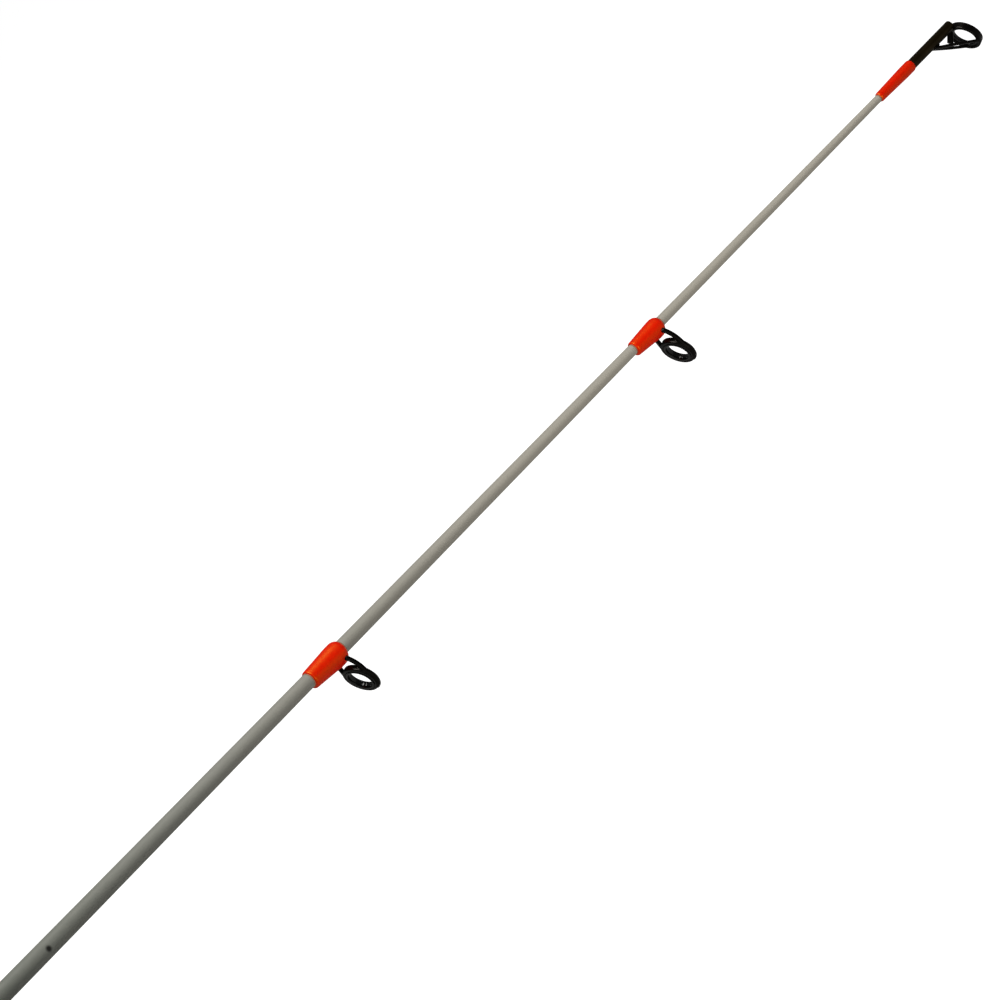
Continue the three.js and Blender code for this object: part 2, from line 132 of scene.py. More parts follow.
def new_piece(name, vertices, faces, materials, body, smooth=True):
    """A mesh piece from millimetre vertices, riding on a body."""
    mesh = bpy.data.meshes.new(name)
    mesh.from_pydata([Vector(v) * MM for v in vertices], [], faces)
    piece = bpy.data.objects.new(name, mesh)
    bpy.context.collection.objects.link(piece)
    for material in materials if isinstance(materials, (list, tuple)) else [materials]:
        mesh.materials.append(material)
    tidy = bmesh.new()
    tidy.from_mesh(mesh)
    bmesh.ops.remove_doubles(tidy, verts=tidy.verts, dist=1e-7)
    bmesh.ops.dissolve_degenerate(tidy, edges=tidy.edges, dist=1e-8)
    bmesh.ops.recalc_face_normals(tidy, faces=tidy.faces)
    tidy.to_mesh(mesh)
    tidy.free()
    if smooth:
        mesh.shade_smooth()
        mesh.set_sharp_from_angle(angle=math.radians(38))
    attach(piece, body)
    return piece


def grid_faces(rows, columns, close_rows, first=0):
    """Quads over rows of columns, each row closed on itself."""
    faces = []
    for i in range(rows if close_rows else rows - 1):
        for j in range(columns):
            a = first + i * columns + j
            b = first + i * columns + (j + 1) % columns
            c = first + (i + 1) % rows * columns + (j + 1) % columns
            d = first + (i + 1) % rows * columns + j
            faces.append((a, b, c, d))
    return faces


def ring_points(x, radius, count):
    points = []
    for j in range(count):
        angle = 2 * math.pi * j / count
        points.append((x, radius * math.cos(angle), radius * math.sin(angle)))
    return points


def lathe(profile, count=96, closed=False):
    """Vertices and faces of [x, radius] points spun about X, capped flat unless the profile closes."""
    vertices = []
    for x, radius in profile:
        vertices += ring_points(x, max(radius, 1e-4), count)
    faces = grid_faces(len(profile), count, closed)
    if not closed:
        faces.append(tuple(range(count)))
        faces.append(tuple(reversed(range(len(vertices) - count, len(vertices)))))
    return vertices, faces


def filleted(points, radius, steps=5, closed=True):
    """The polygon with each corner rounded off by an arc-like curve."""
    out = []
    count = len(points)
    for i, corner in enumerate(points):
        if not closed and i in (0, count - 1):
            out.append(corner)
            continue
        corner = Vector(corner)
        before = Vector(points[i - 1]) - corner
        after = Vector(points[(i + 1) % count]) - corner
        reach = min(radius, before.length * 0.48, after.length * 0.48)
        start = corner + before.normalized() * reach
        end = corner + after.normalized() * reach
        for k in range(steps + 1):
            t = k / steps
            out.append(tuple(start.lerp(corner, t).lerp(corner.lerp(end, t), t)))
    return out


def turned_ring(name, profile, material, body, radius=0.4, count=96):
    """A ring whose closed section has rounded corners."""
    vertices, faces = lathe(filleted(profile, radius), count, closed=True)
    return new_piece(name, vertices, faces, material, body)


def polar_shell(name, stations, outer, inner, material, body, count=160, inside=None):
    """A tube-like piece whose outer and inner radii are functions of x and angle.

    The angle is 0 towards -Z and grows towards +Y, by the right-hand rule about X. The inner
    surface has the same stations unless inside gives others.
    """
    rows = [(x, outer) for x in stations]
    rows += [(x, inner) for x in reversed(inside or stations)]
    vertices = []
    for x, radius_at in rows:
        for j in range(count):
            angle = 2 * math.pi * j / count
            radius = radius_at(x, angle)
            vertices.append((x, radius * math.sin(angle), -radius * math.cos(angle)))
    return new_piece(name, vertices, grid_faces(len(rows), count, True), material, body)


def spaced(start, end, step):
    """Evenly spaced stations from start to end, both included."""
    count = max(1, round((end - start) / step))
    return [start + (end - start) * i / count for i in range(count + 1)]


def moved(vertices, matrix):
    return [tuple(matrix @ Vector(v)) for v in vertices]


def merged(parts):
    """Several (vertices, faces) as one."""
    vertices, faces = [], []
    for part_vertices, part_faces in parts:
        first = len(vertices)
        vertices += part_vertices
        faces += [tuple(first + i for i in face) for face in part_faces]
    return vertices, faces


def tube_along(points, half_widths, side, count=20, power=2.4):
    """A tube along points, with an oval section: half_widths are (across, along side) at each."""
    vertices = []
    side = Vector(side).normalized()
    points = [Vector(p) for p in points]
    for i, point in enumerate(points):
        ahead = points[min(i + 1, len(points) - 1)] - points[max(i - 1, 0)]
        across = ahead.cross(side).normalized()
        upright = across.cross(ahead).normalized()
        for j in range(count):
            angle = 2 * math.pi * j / count
            c, s = math.cos(angle), math.sin(angle)
            u = math.copysign(abs(c) ** (2 / power), c) * half_widths[i][0]
            v = math.copysign(abs(s) ** (2 / power), s) * half_widths[i][1]
            vertices.append(tuple(point + across * u + upright * v))
    faces = grid_faces(len(points), count, False)
    faces.append(tuple(range(count)))
    faces.append(tuple(reversed(range(len(vertices) - count, len(vertices)))))
    return vertices, faces


def melted(name, parts, voxel, material, body, smoothing=6):
    """Parts joined into one skin with soft fillets where they meet."""
    vertices, faces = merged(parts)
    rough = new_piece(name + "_rough", vertices, faces, material, body)
    remesh = rough.modifiers.new("remesh", "REMESH")
    remesh.mode = "VOXEL"
    remesh.voxel_size = voxel * MM
    smooth = rough.modifiers.new("smooth", "SMOOTH")
    smooth.factor = 0.5
    smooth.iterations = smoothing
    graph = bpy.context.evaluated_depsgraph_get()
    mesh = bpy.data.meshes.new_from_object(rough.evaluated_get(graph))
    bpy.data.objects.remove(rough)
    piece = bpy.data.objects.new(name, mesh)
    bpy.context.collection.objects.link(piece)
    mesh.materials.clear()
    mesh.materials.append(material)
    mesh.shade_smooth()
    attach(piece, body)
    return piece


# ---- the mark on the blank ------------------------------------------------------------------------

MARK_X = 349.0
MARK_CORE = 0.42
MARK_EDGE = 1.05
MARK_ASIDE = 0.36  # off the middle of the side that is seen, towards the guides


def mark_place():
    """The small dark blemish's middle, on the blank's surface, in metres."""
    radius = blank_radius(MARK_X)
    down = Vector((0, -math.sin(ROLL), -math.cos(ROLL)))
    out = Vector((0, -math.cos(ROLL), math.sin(ROLL)))
    turn = math.asin(MARK_ASIDE / radius)
    return tuple((Vector((MARK_X, 0, 0)) + (out * math.cos(turn) + down * math.sin(turn)) * radius) * MM)


# ---- materials ---------------------------------------------------------------------------------

class Shader:
    """A Principled material with helpers for procedural detail in the object's own coordinates."""

    def __init__(self, name, color, roughness, **sockets):
        self.material = bpy.data.materials.new(name)
        self.material.use_nodes = True
        self.tree = self.material.node_tree
        self.principled = self.tree.nodes["Principled BSDF"]
        self.set("Base Color", (*color, 1))
        self.set("Roughness", roughness)
        for socket, value in sockets.items():
            self.set(socket.replace("_", " "), value)
        self.coordinates = self.node("ShaderNodeTexCoord").outputs["Object"]

    def set(self, socket, value):
        self.principled.inputs[socket].default_value = value

    def node(self, kind, inputs=None, **settings):
        made = self.tree.nodes.new(kind)
        for key, value in settings.items():
            setattr(made, key, value)
        for key, value in (inputs or {}).items():
            if isinstance(value, bpy.types.NodeSocket):
                self.tree.links.new(value, made.inputs[key])
            else:
                made.inputs[key].default_value = value
        return made

    def stretched(self, scale, turn=(0, 0, 0)):
        """Object coordinates, scaled; scale is cells per metre along each axis."""
        inputs = {"Vector": self.coordinates, "Scale": scale, "Rotation": turn}
        return self.node("ShaderNodeMapping", inputs).outputs["Vector"]

    def noise(self, scale, detail=4.0, roughness=0.55, vector=None):
        vector = self.coordinates if vector is None else vector
        inputs = {"Vector": vector, "Scale": scale, "Detail": detail, "Roughness": roughness}
        return self.node("ShaderNodeTexNoise", inputs).outputs["Fac"]

    def along(self, axis):
        """The object coordinate along X, Y or Z, in metres."""
        split = self.node("ShaderNodeSeparateXYZ", {"Vector": self.coordinates})
        return split.outputs[axis]

    def math(self, operation, a, b=0.0, c=0.0):
        made = self.node("ShaderNodeMath", {0: a, 1: b, 2: c}, operation=operation)
        return made.outputs["Value"]

    def spread(self, value, low_in, high_in, low_out=0.0, high_out=1.0):
        inputs = {"Value": value, "From Min": low_in, "From Max": high_in,
                  "To Min": low_out, "To Max": high_out}
        return self.node("ShaderNodeMapRange", inputs).outputs["Result"]

    def ramp(self, value, stops):
        """A colour ramp through (position, colour) stops."""
        made = self.node("ShaderNodeValToRGB", {"Fac": value})
        ramp = made.color_ramp
        while len(ramp.elements) < len(stops):
            ramp.elements.new(0.5)
        for element, (position, color) in zip(ramp.elements, stops):
            element.position = position
            element.color = (*color, 1)
        return made.outputs["Color"]

    def mix(self, factor, a, b, blend="MIX"):
        made = self.node("ShaderNodeMix", data_type="RGBA", blend_type=blend)
        for index, value in ((0, factor), (6, a), (7, b)):
            if isinstance(value, bpy.types.NodeSocket):
                self.tree.links.new(value, made.inputs[index])
            else:
                made.inputs[index].default_value = value if index == 0 else (*value, 1)
        return made.outputs[2]

    def into(self, socket, output):
        self.tree.links.new(output, self.principled.inputs[socket])

    def bump(self, height, distance, strength=1.0, below=None):
        inputs = {"Height": height, "Distance": distance * MM, "Strength": strength}
        if below is not None:
            inputs["Normal"] = below
        return self.node("ShaderNodeBump", inputs).outputs["Normal"]


def blank_material():
    """Satin solid glass: pale and warm towards the tip, darker and greener towards the thick butt end;
    this darkening along the rod is painted shade for the light falling off away from the tip.
    """
    shader = Shader("blank_glass", (0.4, 0.39, 0.35), 0.5, Specular_IOR_Level=0.3)
    along = shader.spread(shader.along("X"), 0.33, TIP * MM)
    # painted light and shade: the base colour is lighter at the tip and darker towards the butt,
    # standing in for the light falling off along the rod
    base = shader.ramp(along, [
        (0.0, (0.15, 0.162, 0.142)), (0.22, (0.225, 0.228, 0.205)), (0.5, (0.32, 0.305, 0.265)),
        (1.0, (0.385, 0.365, 0.315)),
    ])
    fibres = shader.noise(1.0, 5, 0.6, shader.stretched((60, 2600, 2600)))
    mottled = shader.noise(1.0, 3, 0.5, shader.stretched((220, 500, 500)))
    streaks = shader.mix(shader.spread(fibres, 0.3, 0.7, 0.0, 0.10), base, (0.20, 0.18, 0.145))
    clouded = shader.mix(shader.spread(mottled, 0.35, 0.7, 0.0, 0.07), streaks, (0.42, 0.41, 0.37))
    mark = shader.node("ShaderNodeVectorMath", {0: shader.coordinates, 1: mark_place()},
                       operation="DISTANCE").outputs["Value"]
    edge = shader.spread(mark, MARK_CORE * MM, MARK_EDGE * MM, 0.96, 0.0)
    shader.into("Base Color", shader.mix(edge, clouded, (0.004, 0.004, 0.003)))
    shader.into("Roughness", shader.spread(fibres, 0.2, 0.8, 0.44, 0.56))
    shader.into("Normal", shader.bump(fibres, 0.006, 0.35))
    return shader.material


def thread_material():
    """Orange-red winding thread soaked in clear resin, with the strands just showing through."""
    shader = Shader("orange_thread", (0.72, 0.02, 0.0), 0.5, Subsurface_Weight=0.35,
                    Subsurface_Scale=0.0008, Specular_IOR_Level=0.9)
    shader.set("Specular Tint", (1.0, 0.75, 0.04, 1))
    shader.set("Subsurface Radius", (1.0, 0.10, 0.02))
    across = shader.math("MULTIPLY", shader.along("X"), 2 * math.pi / (0.2 * MM))
    strands = shader.math("SINE", across)
    blotches = shader.noise(520, 3, 0.6)
    color = shader.mix(shader.spread(blotches, 0.35, 0.75, 0, 0.5), (0.70, 0.0022, 0.0003),
                       (0.65, 0.0016, 0.0002))
    lines = shader.spread(strands, -1, 1, 0.0, 0.12)
    shader.into("Base Color", shader.mix(lines, color, (0.60, 0.0014, 0.0002)))
    shader.into("Roughness", shader.spread(blotches, 0.3, 0.7, 0.34, 0.44))
    shader.into("Normal", shader.bump(strands, 0.008, 0.4))
    return shader.material


def resin_material():
    """The clear coat where it feathers out onto the blank, tinted by the thread beside it."""
    shader = Shader("clear_resin", (0.26, 0.15, 0.09), 0.3, Specular_IOR_Level=0.4)
    cloud = shader.noise(700, 2, 0.5)
    shader.into("Base Color", shader.mix(cloud, (0.25, 0.14, 0.08), (0.30, 0.20, 0.13)))
    shader.into("Roughness", shader.spread(cloud, 0.3, 0.7, 0.22, 0.34))
    return shader.material


def black_nickel_material(name, color, roughness):
    """Dark plated metal with fine brushing and slightly worn patches."""
    shader = Shader(name, color, roughness, Metallic=0.85, Specular_IOR_Level=0.5)
    brushed = shader.noise(1.0, 4, 0.6, shader.stretched((900, 5000, 5000)))
    patches = shader.noise(420, 4, 0.6)
    lighter = tuple(min(1, c * 2.2 + 0.004) for c in color)
    shader.into("Base Color", shader.mix(shader.spread(patches, 0.45, 0.8, 0, 0.6), color, lighter))
    shader.into("Roughness", shader.spread(brushed, 0.2, 0.8, roughness * 0.75, roughness * 1.3))
    shader.into("Normal", shader.bump(brushed, 0.004, 0.5))
    return shader.material


def ceramic_material():
    shader = Shader("black_ceramic", (0.003, 0.003, 0.003), 0.12, Specular_IOR_Level=0.45)
    specks = shader.noise(2600, 3, 0.6)
    shader.into("Base Color", shader.mix(shader.spread(specks, 0.5, 0.8, 0, 0.5),
                                         (0.002, 0.002, 0.002), (0.008, 0.008, 0.009)))
    shader.into("Roughness", shader.spread(specks, 0.3, 0.8, 0.08, 0.18))
    return shader.material


def cork_material():
    """Sanded cork in glued discs, with pores and darker streaks."""
    shader = Shader("cork", (0.62, 0.42, 0.24), 0.78, Specular_IOR_Level=0.3)
    index = shader.math("FLOOR", shader.math("DIVIDE", shader.along("X"), DISC * MM))
    tone = shader.node("ShaderNodeTexWhiteNoise", {"W": index}, noise_dimensions="1D")
    grain = shader.noise(260, 8, 0.68)
    fine = shader.noise(1500, 4, 0.6)
    cells = shader.node("ShaderNodeTexVoronoi", {"Vector": shader.coordinates, "Scale": 430.0,
                                                 "Randomness": 1.0})
    pores = shader.spread(cells.outputs["Distance"], 0.10, 0.24, 1, 0)
    sparse = shader.math("MULTIPLY", pores, shader.spread(grain, 0.48, 0.62))
    lenticels = shader.noise(1.0, 2, 0.5, shader.stretched((130, 520, 520)))
    dark = shader.math("MAXIMUM", sparse, shader.spread(lenticels, 0.66, 0.74))
    body = shader.ramp(shader.math("ADD", shader.spread(grain, 0.3, 0.7, 0, 0.7),
                                   shader.math("MULTIPLY", tone.outputs["Value"], 0.3)), [
        (0.0, (0.47, 0.29, 0.15)), (0.45, (0.60, 0.40, 0.22)), (1.0, (0.72, 0.52, 0.31)),
    ])
    freckled = shader.mix(shader.spread(fine, 0.35, 0.75, 0, 0.35), body, (0.40, 0.24, 0.12))
    shader.into("Base Color", shader.mix(shader.math("MULTIPLY", dark, 0.85), freckled,
                                         (0.13, 0.065, 0.028)))
    height = shader.math("SUBTRACT", shader.math("MULTIPLY", fine, 0.25), dark)
    shader.into("Normal", shader.bump(height, 0.16, 0.8))
    shader.into("Roughness", shader.spread(dark, 0, 1, 0.72, 0.95))
    return shader.material


def moulded_material(name, color, roughness, grain=2200, depth=0.012):
    """Moulded plastic or rubber with a fine pebbled skin."""
    shader = Shader(name, color, roughness, Specular_IOR_Level=0.4)
    pebbles = shader.noise(grain, 3, 0.55)
    scuffs = shader.noise(180, 5, 0.65)
    lighter = tuple(c * 1.8 + 0.006 for c in color)
    shader.into("Base Color", shader.mix(shader.spread(scuffs, 0.5, 0.8, 0, 0.5), color, lighter))
    shader.into("Roughness", shader.spread(scuffs, 0.3, 0.75, roughness * 1.15, roughness * 0.85))
    shader.into("Normal", shader.bump(pebbles, depth, 0.7))
    return shader.material


def satin_metal_material(name, color, roughness):
    """Turned and anodised or plated metal: rings of fine tool marks round the axis."""
    shader = Shader(name, color, roughness, Metallic=0.95)
    marks = shader.noise(1.0, 3, 0.6, shader.stretched((9000, 60, 60)))
    tint = shader.noise(260, 4, 0.6)
    darker = tuple(c * 0.72 for c in color)
    shader.into("Base Color", shader.mix(shader.spread(tint, 0.35, 0.75, 0, 0.6), color, darker))
    shader.into("Roughness", shader.spread(marks, 0.2, 0.8, roughness * 0.8, roughness * 1.3))
    shader.into("Normal", shader.bump(marks, 0.003, 0.6))
    return shader.material


BLANK = blank_material()
THREAD = thread_material()
RESIN = resin_material()
FRAME_METAL = black_nickel_material("black_nickel", (0.006, 0.005, 0.004), 0.24)
TUBE_METAL = black_nickel_material("tube_nickel", (0.024, 0.016, 0.005), 0.3)
CERAMIC = ceramic_material()
CORK = cork_material()
RUBBER = moulded_material("butt_rubber", (0.016, 0.016, 0.017), 0.62, 1500, 0.03)
SEAT = moulded_material("seat_plastic", (0.018, 0.018, 0.020), 0.42)
LINER = moulded_material("liner_plastic", (0.030, 0.030, 0.032), 0.6)
ANODISED = satin_metal_material("orange_anodised", (0.78, 0.13, 0.012), 0.28)
HOOD_METAL = satin_metal_material("hood_metal", (0.10, 0.10, 0.105), 0.30)
BUSH = moulded_material("bush_foam", (0.60, 0.55, 0.42), 0.8, 900, 0.05)


# ---- blank ---------------------------------------------------------------------------------------

def make_blank():
    start, end = low("blank").x, high("blank").x
    count = 160
    profile = [(start, blank_radius(start) - 0.4)]
    for i in range(count + 1):
        x = start + 0.4 + (end - start - 0.6) * i / count
        profile.append((x, blank_radius(x)))
    profile.append((end, blank_radius(end) - 0.2))
    vertices, faces = lathe(profile, 64)
    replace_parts(new_piece("blank_skin", vertices, faces, BLANK, "rod"), "blank")


# ---- wraps ---------------------------------------------------------------------------------------

def eased(t):
    t = max(0.0, min(1.0, t))
    return t * t * (3 - 2 * t)


def domed(t):
    """0 to 1 along a quarter circle."""
    t = max(0.0, min(1.0, t))
    return math.sqrt(1 - (1 - t) ** 2)


FEATHER = 0.35  # how far the resin runs past the thread


def wrap_shell(name, start, end, plain, over_foot, dome, count=96):
    """A thread wrap under resin, its height growing in a straight line from the rear.

    plain and over_foot are the heights at the rear and the front, away from the foot under the
    wrap and over it; dome is the length of the rounded front.
    """
    def height(heights, share):
        return heights[0] + (heights[1] - heights[0]) * min(1.0, share / 0.75)

    def outer(x, angle):
        if x < start or x > end:
            return blank_radius(x) + 0.02
        share = (x - start) / (end - start)
        lobe = ((1 + math.cos(angle)) / 2) ** 1.5
        level = height(plain, share) * (1 - lobe) + height(over_foot, share) * lobe
        return blank_radius(x) + 0.02 + level * domed((x - start) / 0.4) * domed((end - x) / dome)

    stations = [start - FEATHER] + spaced(start, end, 0.11) + [end + FEATHER]
    piece = polar_shell(name, stations, outer, lambda x, angle: blank_radius(x) - 0.02,
                        [THREAD, RESIN], "rod", count)
    for face in piece.data.polygons:
        face.material_index = 0 if start < face.center.x / MM < end else 1
    return piece


def make_guide_wrap(guide):
    node = guide + "_wrap"
    start, end = low(node).x, high(node).x
    piece = wrap_shell(guide + "_thread", start, end, (0.37, 0.85), (0.7, 1.5), 1.7)
    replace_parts(piece, node)


def make_plain_wrap(node, thickness):
    """A short wrap, even along its length, that bulges over any wire under it."""
    start, end = low(node).x, high(node).x
    over = max(thickness, -low(node).z - blank_radius((start + end) / 2) - 0.1)
    piece = wrap_shell(node + "_thread", start, end, (thickness, thickness), (over, over), 1.0)
    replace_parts(piece, node)


def make_tip_wrap():
    """The tip wrap climbs from the blank onto the tip-top's tube in one even taper."""
    start, end = low("tip_wrap").x, high("tip_wrap").x
    tube_start = low("tip_top_tube").x
    tube_radius = high("tip_top_tube").y
    first, last = blank_radius(start) + 0.30, tube_radius + 0.22

    def under(x, angle):
        return (blank_radius(x) if x < tube_start - 0.2 else tube_radius) - 0.02

    def outer(x, angle):
        if x < start:
            return blank_radius(x) + 0.02
        level = first + (last - first) * min(1.0, (x - start) / (end - start) * 1.3)
        shoulder = min(domed((x - start) / 0.5), domed((end - x) / 0.7))
        return under(x, angle) + 0.04 + (level - under(x, angle) - 0.04) * max(shoulder, 0.05)

    stations = [start - FEATHER] + spaced(start, end, 0.12)
    piece = polar_shell("tip_wrap_thread", stations, outer, under, [THREAD, RESIN], "rod",
                        96)
    for face in piece.data.polygons:
        face.material_index = 0 if face.center.x / MM > start else 1
    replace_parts(piece, "tip_wrap")


# ---- guides --------------------------------------------------------------------------------------

def eye_section(inner, outer, thick, radius):
    half = thick / 2
    box = [(-half, inner), (-half, outer), (half, outer), (half, inner)]
    return filleted(box, radius)


def centre_of(node):
    return (low(node) + high(node)) / 2


def insert_ring(name, node, lean, thick):
    """The polished ring: rounded all over, with a shallow groove round each face."""
    centre = centre_of(node)
    outer = high(node).y
    inner = outer - INSERT_WIDTH
    half = thick / 2
    section = [(-half, inner + 0.12), (-half, outer - 0.22), (-half + 0.1, outer - 0.14),
               (-half + 0.02, outer), (half - 0.02, outer), (half - 0.1, outer - 0.14),
               (half, outer - 0.22), (half, inner + 0.12), (half * 0.4, inner - 0.02),
               (-half * 0.4, inner - 0.02)]
    vertices, faces = lathe(filleted(section, 0.14, 3), 96, closed=True)
    place = Matrix.Translation(centre) @ Matrix.Rotation(-lean, 4, "Y")
    piece = new_piece(name, moved(vertices, place), faces, CERAMIC, "rod")
    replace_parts(piece, node)
    return centre, outer


def arm_path(base, centre_z, radius, steps=26):
    """From a base point ahead of the ring's plane, bowing out to the eye's flank and on round it."""
    side = math.copysign(1, base.y)
    distance = math.hypot(base.y, base.z - centre_z)
    lean = math.atan2(abs(base.y), base.z - centre_z)
    touch = lean + math.acos(min(1, radius / distance))
    around = []
    for i in range(steps + 1):
        angle = touch + (math.pi * 0.93 - touch) * i / steps
        around.append(Vector((0, side * radius * math.sin(angle),
                              centre_z + radius * math.cos(angle))))
    straight = []
    for i in range(9):
        t = i / 9
        point = base.lerp(around[0], t)
        straight.append(Vector((base.x * (1 - t ** 2), point.y + side * ARM_BOW * math.sin(math.pi * t),
                                point.z)))
    return straight + around


def make_guide(guide):
    centre, outer = insert_ring(guide + "_insert", guide + "_ring", LEAN, INSERT_THICK)
    eye_outer = high(guide + "_frame").y + EYE_RIM
    x_bend = high(guide + "_wrap").x - WRAP_FRONT
    bend = Vector((x_bend, 0, -blank_radius(x_bend) - 0.5))
    reach = (centre - bend).length
    eye = lathe(eye_section(outer - 0.02, eye_outer, EYE_THICK, 0.3), 96, closed=True)
    parts = [(moved(eye[0], Matrix.Translation((0, 0, -reach))), eye[1])]
    for side in (-1, 1):
        base = Vector((ARM_AHEAD, side * eye_outer * ARM_SPREAD, 0.1))
        path = arm_path(base, -reach, eye_outer - 0.22)
        widths = [(ARM_HALF, ARM_HALF)] * len(path)
        parts.append(tube_along(path, widths, (1, 0, 0)))
    bar_half = eye_outer * (ARM_SPREAD + 0.02)
    bar = [(ARM_AHEAD, y * bar_half, -0.02) for y in (-1, -0.6, -0.2, 0.2, 0.6, 1)]
    parts.append(tube_along(bar, [(ARM_HALF, ARM_HALF)] * len(bar), (1, 0, 0)))
    leaned = [(moved(v, Matrix.Rotation(-LEAN, 4, "Y")), f) for v, f in parts]
    foot_length = x_bend - low(guide + "_frame").x
    foot = []
    widths = []
    for i in range(9):
        t = i / 8
        foot.append((ARM_AHEAD + 0.3 - (foot_length + ARM_AHEAD) * t, 0, -0.05 + 0.25 * t * t))
        widths.append((1.1 - 0.45 * t, 0.36 - 0.2 * t))
    leaned.append(tube_along(foot, widths, (0, 0, 1)))
    placed = [(moved(v, Matrix.Translation(bend)), f) for v, f in leaned]
    piece = melted(guide + "_stirrup", placed, 0.11, FRAME_METAL, "rod", 5)
    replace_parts(piece, guide + "_frame")


# ---- tip-top -------------------------------------------------------------------------------------

TIP_INSERT_THICK = 1.2
TIP_EYE_THICK = 1.9
BRACES_BACK = 8.7  # the two braces leave the tube this far behind the tip
BRACE_STEPS = 12


def make_tip_top():
    centre, outer = insert_ring("tip_top_insert", "tip_top_ring", TIP_LEAN, TIP_INSERT_THICK)
    start, end = low("tip_top_tube").x, high("tip_top_tube").x
    radius = high("tip_top_tube").y
    bore = blank_radius(start) + 0.03
    profile = filleted([(start, bore), (start, radius), (end, radius), (end, 0.05)], 0.18,
                       4, closed=False)
    profile = [(start + 1.2, bore)] + profile + [(end - 0.8, 0.05), (end - 0.8, bore)]
    vertices, faces = lathe(profile, 72, closed=True)
    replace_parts(new_piece("tip_top_barrel", vertices, faces, TUBE_METAL, "rod"),
                "tip_top_tube")
    eye_outer = high("tip_top_frame").y
    eye = lathe(eye_section(outer - 0.02, eye_outer, TIP_EYE_THICK, 0.3), 96, closed=True)
    place = Matrix.Translation(centre) @ Matrix.Rotation(-TIP_LEAN, 4, "Y")
    parts = [(moved(eye[0], place), eye[1])]
    for side in (-1, 1):
        tube_end = Vector((TIP - BRACES_BACK, side * 0.45, -radius + 0.15))
        eye_end = centre + Vector((0.9, side * eye_outer * 0.62, -eye_outer * 0.72))
        path = []
        widths = []
        for i in range(BRACE_STEPS + 1):
            bow = Vector((0, side * 0.5 * math.sin(math.pi * i / BRACE_STEPS), 0))
            path.append(tube_end.lerp(eye_end, i / BRACE_STEPS) + bow)
            widths.append((0.38, 0.48 - 0.08 * i / BRACE_STEPS))
        parts.append(tube_along(path, widths, (0, 1, 0)))
    saddle = [(TIP - 10 + 0.8 * i, 0, -radius - 0.02 + 0.35 * (1 - i / 4) ** 2) for i in range(5)]
    parts.append(tube_along(saddle, [(0.28, 0.7 - 0.1 * (4 - i)) for i in range(5)], (0, 1, 0)))
    web = [(TIP - 1.6 - 0.55 * i, 0, -radius + 0.1 - 0.5 * i) for i in range(5)]
    parts.append(tube_along(web, [(0.9, 0.4)] * 5, (0, 1, 0)))
    top = [(end - 1.6 + i * 0.75, 0, -radius * 0.55 - 0.12 * i) for i in range(5)]
    parts.append(tube_along(top, [(0.6, 0.7)] * 5, (0, 1, 0)))
    piece = melted("tip_top_brace", parts, 0.1, FRAME_METAL, "rod", 4)
    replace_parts(piece, "tip_top_frame")


# ---- hook keeper ----------------------------------------------------------------------------------

def smooth_path(points, steps=8):
    """Points along a Catmull-Rom curve through the given ones."""
    points = [Vector(p) for p in points]
    padded = [points[0] * 2 - points[1]] + points + [points[-1] * 2 - points[-2]]
    out = []
    for a, b, c, d in zip(padded, padded[1:], padded[2:], padded[3:]):
        for k in range(steps):
            t = k / steps
            out.append(0.5 * (2 * b + (c - a) * t + (2 * a - 5 * b + 4 * c - d) * t * t
                              + (3 * b - a - 3 * c + d) * t ** 3))
    return out + [points[-1]]


def make_keeper():
    wire = 0.4
    middle = centre_of("hook_keeper").x
    reach = high("hook_keeper").x - middle - 0.02
    foot = high("hook_keeper").z - wire
    height = foot - low("hook_keeper").z - wire
    span = reach - 4.2
    half = [(reach, 0), (span + 2.6, 0), (span + 1.2, 0), (span - 0.6, 0.55), (0, 1)]
    rear = [(middle - dx, 0, foot - height * share) for dx, share in half]
    front = [(middle + dx, 0, foot - height * share) for dx, share in reversed(half[:-1])]
    path = smooth_path(rear + front)
    vertices, faces = tube_along(path, [(wire, wire)] * len(path), (0, 1, 0), 20, 2)
    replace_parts(new_piece("hook_keeper_wire", vertices, faces, FRAME_METAL, "rod"),
                "hook_keeper")


# ---- handle ---------------------------------------------------------------------------------------

def curve_radius(points, x):
    """The radius at x on a smooth curve through (x, radius) points."""
    def slope(k):
        a, b = points[max(k - 1, 0)], points[min(k + 1, len(points) - 1)]
        return (b[1] - a[1]) / (b[0] - a[0])

    i = 0
    while i < len(points) - 2 and x > points[i + 1][0]:
        i += 1
    (x0, r0), (x1, r1) = points[i], points[i + 1]
    run = x1 - x0
    t = max(0.0, min(1.0, (x - x0) / run))
    return ((1 + 2 * t) * (1 - t) ** 2 * r0 + t * (1 - t) ** 2 * run * slope(i)
            + t * t * (3 - 2 * t) * r1 + t * t * (t - 1) * run * slope(i + 1))


def straight_radius(points, x):
    """The radius at x on straight lines through (x, radius) points."""
    for (x0, r0), (x1, r1) in zip(points, points[1:]):
        if x <= x1:
            return r0 + (r1 - r0) * max(0.0, (x - x0) / (x1 - x0))
    return points[-1][1]


def end_rounding(distance, radius):
    """How far a surface falls back this near to a rounded end."""
    if distance >= radius:
        return 0.0
    return radius - math.sqrt(max(0.0, radius ** 2 - (radius - max(distance, 0.0)) ** 2))


